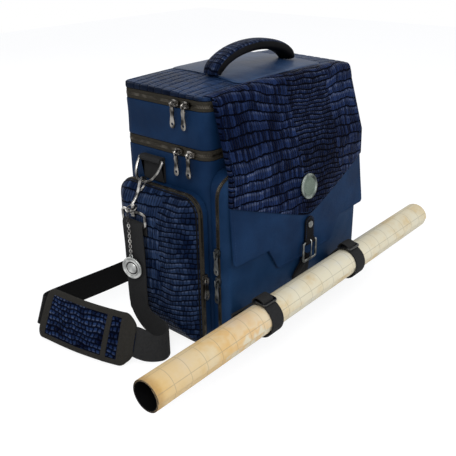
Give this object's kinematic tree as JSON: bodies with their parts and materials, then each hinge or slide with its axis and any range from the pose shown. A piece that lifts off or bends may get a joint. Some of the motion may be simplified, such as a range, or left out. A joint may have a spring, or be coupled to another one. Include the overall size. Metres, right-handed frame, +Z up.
{
  "type": "tabletop organiser shoulder bag",
  "caption": "Boxy embossed leather shoulder bag with a hinged tray and lid, front flap, zipped pockets, swivel-hook strap and a rolled map held in loops.",
  "frame": {"origin": "centre of the flat base that the bag stands on", "axes": "+X to the viewer's right along the front, +Y from the front to the back, +Z up"},
  "size_m": [0.6107, 0.3273, 0.3756],
  "materials": {
    "smooth_leather": "smooth satin navy",
    "embossed_leather": "glossy embossed scales",
    "black_leather": "smooth black",
    "zip_tape": "woven, with coil teeth",
    "webbing": "woven charcoal webbing",
    "gunmetal": "gunmetal",
    "antique_metal": "aged pewter",
    "gloss_black": "gloss black",
    "map_sheet": "printed sheet with a square grid",
    "board": "matt stiffener"
  },
  "bodies": {
    "bag": {"main_body": "smooth_leather", "base_board": "board", "tray_zip_lower_tape": "zip_tape", "front_pocket_gusset": "smooth_leather", "front_pocket_zip_tape": "zip_tape", "left_pocket_gusset": "smooth_leather", "right_pocket_gusset": "smooth_leather", "left_ring_tab": "webbing", "right_ring_tab": "webbing", "strap_left_webbing": "webbing", "strap_rear_webbing": "webbing", "strap_pad": "embossed_leather"},
    "tray": {"tray_shell": "smooth_leather", "tray_zip_upper_tape": "zip_tape", "lid_zip_lower_tape": "zip_tape"},
    "lid": {"lid_shell": "embossed_leather", "lid_zip_upper_tape": "zip_tape", "lid_patch": "smooth_leather", "handle": "embossed_leather"},
    "flap": {"flap_base": "smooth_leather", "flap_panel": "embossed_leather", "badge": "antique_metal", "closure_tab": "black_leather"},
    "buckle": {"buckle_frame": "antique_metal"},
    "prong": {"buckle_prong": "antique_metal"},
    "pocket_front": {"front_pocket_panel": "smooth_leather", "map_loop_left": "webbing", "map_loop_right": "webbing", "cinch_buckle_left": "gloss_black", "cinch_buckle_right": "gloss_black", "closure_strap": "black_leather"},
    "map": {"rolled_map": "map_sheet"},
    "left_door": {"left_pocket_panel": "embossed_leather"},
    "right_door": {"right_pocket_panel": "embossed_leather"},
    "charm": {"charm_chain": "gunmetal"},
    "medal": {"charm_medal": "antique_metal"},
    "left_ring": {"left_d_ring": "gunmetal"},
    "left_hook": {"left_snap_hook": "gunmetal"},
    "left_gate": {"left_hook_gate": "gunmetal"},
    "left_swivel": {"left_strap_ring": "gunmetal"},
    "left_slider": {"left_zip_slider": "gunmetal"},
    "left_pull": {"left_zip_pull": "gunmetal"},
    "right_ring": {"right_d_ring": "gunmetal"},
    "right_hook": {"right_snap_hook": "gunmetal"},
    "right_gate": {"right_hook_gate": "gunmetal"},
    "right_swivel": {"right_strap_ring": "gunmetal"},
    "right_slider": {"right_zip_slider": "gunmetal"},
    "right_pull": {"right_zip_pull": "gunmetal"},
    "lid_slider_1": {"lid_zip_slider_1": "gunmetal"},
    "lid_pull_1": {"lid_zip_pull_1": "gunmetal"},
    "lid_slider_2": {"lid_zip_slider_2": "gunmetal"},
    "lid_pull_2": {"lid_zip_pull_2": "gunmetal"},
    "tray_slider_1": {"tray_zip_slider_1": "gunmetal"},
    "tray_pull_1": {"tray_zip_pull_1": "gunmetal"},
    "tray_slider_2": {"tray_zip_slider_2": "gunmetal"},
    "tray_pull_2": {"tray_zip_pull_2": "gunmetal"},
    "front_slider_1": {"front_zip_slider_1": "gunmetal"},
    "front_pull_1": {"front_zip_pull_1": "gunmetal"},
    "front_slider_2": {"front_zip_slider_2": "gunmetal"},
    "front_pull_2": {"front_zip_pull_2": "gunmetal"}
  },
  "joints": [
    {"name": "tray_hinge", "type": "hinge", "parent": "bag", "child": "tray", "pos_m": [0, 0.073, 0.259], "axis": [-1, 0, 0], "range_deg": [0, 75]},
    {"name": "lid_hinge", "type": "hinge", "parent": "tray", "child": "lid", "pos_m": [0, 0.073, 0.319], "axis": [-1, 0, 0], "range_deg": [0, 100]},
    {"name": "flap_lift", "type": "hinge", "parent": "lid", "child": "flap", "pos_m": [0, -0.0736, 0.329], "axis": [-1, 0, 0], "range_deg": [0, 110]},
    {"name": "front_pocket_open", "type": "hinge", "parent": "bag", "child": "pocket_front", "pos_m": [0, -0.0869, 0.008], "axis": [1, 0, 0], "range_deg": [0, 22]},
    {"name": "buckle_lift", "type": "hinge", "parent": "flap", "child": "buckle", "pos_m": [0, -0.11989, 0.1108], "axis": [-1, 0, 0], "range_deg": [0, 50]},
    {"name": "prong_lift", "type": "hinge", "parent": "buckle", "child": "prong", "pos_m": [0, -0.11989, 0.1108], "axis": [-1, 0, 0], "range_deg": [0, 35]},
    {"name": "map_slide", "type": "slide", "parent": "pocket_front", "child": "map", "axis": [-0.9997, -0.0192, -0.0115], "range_m": [0, 0.4]},
    {"name": "left_door_open", "type": "hinge", "parent": "bag", "child": "left_door", "pos_m": [-0.1666, 0.074, 0.1], "axis": [0, 0, -1], "range_deg": [0, 27]},
    {"name": "left_ring_swing", "type": "hinge", "parent": "bag", "child": "left_ring", "pos_m": [-0.157, 0.021, 0.241], "axis": [0, 1, 0], "range_deg": [0, 60], "deforming": ["strap_left_webbing"]},
    {"name": "left_hook_swing", "type": "hinge", "parent": "left_ring", "child": "left_hook", "pos_m": [-0.17331, 0.021, 0.21559], "axis": [0, 1, 0], "range_deg": [0, 40]},
    {"name": "left_gate_open", "type": "hinge", "parent": "left_hook", "child": "left_gate", "pos_m": [-0.1786, 0.021, 0.2034], "axis": [0, -1, 0], "range_deg": [0, 10], "stiffness_Nm_per_rad": 0.05},
    {"name": "left_swivel_turn", "type": "hinge", "parent": "left_hook", "child": "left_swivel", "pos_m": [-0.1925, 0.021, 0.18], "axis": [0, 0, 1], "range_deg": [-8, 8]},
    {"name": "left_zip_run", "type": "slide", "parent": "bag", "child": "left_slider", "axis": [0, 0, 1], "range_m": [-0.06, 0.075]},
    {"name": "left_pull_lift", "type": "hinge", "parent": "left_slider", "child": "left_pull", "pos_m": [-0.1613, -0.07565, 0.101], "axis": [-1, 0, 0], "range_deg": [0, 110]},
    {"name": "right_door_open", "type": "hinge", "parent": "bag", "child": "right_door", "pos_m": [0.1666, 0.074, 0.1], "axis": [0, 0, 1], "range_deg": [0, 27]},
    {"name": "right_ring_swing", "type": "hinge", "parent": "bag", "child": "right_ring", "pos_m": [0.157, 0.021, 0.241], "axis": [0, -1, 0], "range_deg": [0, 60], "deforming": ["strap_rear_webbing"]},
    {"name": "right_hook_swing", "type": "hinge", "parent": "right_ring", "child": "right_hook", "pos_m": [0.17331, 0.021, 0.21559], "axis": [0, -1, 0], "range_deg": [0, 40]},
    {"name": "right_gate_open", "type": "hinge", "parent": "right_hook", "child": "right_gate", "pos_m": [0.1786, 0.021, 0.2034], "axis": [0, 1, 0], "range_deg": [0, 10], "stiffness_Nm_per_rad": 0.05},
    {"name": "right_swivel_turn", "type": "hinge", "parent": "right_hook", "child": "right_swivel", "pos_m": [0.1925, 0.021, 0.18], "axis": [0, 0, 1], "range_deg": [-8, 8]},
    {"name": "right_zip_run", "type": "slide", "parent": "bag", "child": "right_slider", "axis": [0, 0, 1], "range_m": [-0.06, 0.075]},
    {"name": "right_pull_lift", "type": "hinge", "parent": "right_slider", "child": "right_pull", "pos_m": [0.1613, -0.07565, 0.101], "axis": [-1, 0, 0], "range_deg": [0, 110]},
    {"name": "charm_swing", "type": "hinge", "parent": "left_hook", "child": "charm", "pos_m": [-0.2023, 0.021, 0.183], "axis": [1, 0, 0], "range_deg": [-20, 20]},
    {"name": "medal_swing", "type": "hinge", "parent": "charm", "child": "medal", "pos_m": [-0.20233, 0.021, 0.1197], "axis": [0, 1, 0], "range_deg": [0, 12]},
    {"name": "lid_zip_run_1", "type": "slide", "parent": "tray", "child": "lid_slider_1", "axis": [0, 1, 0], "range_m": [0, 0.075]},
    {"name": "lid_pull_lift_1", "type": "hinge", "parent": "lid_slider_1", "child": "lid_pull_1", "pos_m": [-0.1573, -0.023, 0.319], "axis": [0, 1, 0], "range_deg": [0, 110]},
    {"name": "lid_zip_run_2", "type": "slide", "parent": "tray", "child": "lid_slider_2", "axis": [0, 1, 0], "range_m": [-0.008, 0]},
    {"name": "lid_pull_lift_2", "type": "hinge", "parent": "lid_slider_2", "child": "lid_pull_2", "pos_m": [-0.1573, -0.042, 0.319], "axis": [0, 1, 0], "range_deg": [0, 110]},
    {"name": "tray_zip_run_1", "type": "slide", "parent": "bag", "child": "tray_slider_1", "axis": [0, 1, 0], "range_m": [0, 0.018]},
    {"name": "tray_pull_lift_1", "type": "hinge", "parent": "tray_slider_1", "child": "tray_pull_1", "pos_m": [-0.1573, -0.026, 0.259], "axis": [0, 1, 0], "range_deg": [0, 110]},
    {"name": "tray_zip_run_2", "type": "slide", "parent": "bag", "child": "tray_slider_2", "axis": [0, 1, 0], "range_m": [-0.008, 0]},
    {"name": "tray_pull_lift_2", "type": "hinge", "parent": "tray_slider_2", "child": "tray_pull_2", "pos_m": [-0.1573, -0.047, 0.259], "axis": [0, 1, 0], "range_deg": [0, 110]},
    {"name": "front_zip_run_1", "type": "slide", "parent": "bag", "child": "front_slider_1", "axis": [0, 0, 1], "range_m": [0, 0.06]},
    {"name": "front_pull_lift_1", "type": "hinge", "parent": "front_slider_1", "child": "front_pull_1", "pos_m": [-0.15165, -0.08385, 0.136], "axis": [0, 1, 0], "range_deg": [0, 110]},
    {"name": "front_zip_run_2", "type": "slide", "parent": "bag", "child": "front_slider_2", "axis": [0, 0, 1], "range_m": [-0.05, 0]},
    {"name": "front_pull_lift_2", "type": "hinge", "parent": "front_slider_2", "child": "front_pull_2", "pos_m": [-0.15165, -0.08385, 0.095], "axis": [0, 1, 0], "range_deg": [0, 110]}
  ],
  "couplings": [
    {"joint": "front_pocket_open", "follows": "flap_lift", "ratio": 0.2},
    {"joint": "left_ring_swing", "follows": "left_door_open", "ratio": 2},
    {"joint": "right_ring_swing", "follows": "right_door_open", "ratio": 2}
  ]
}
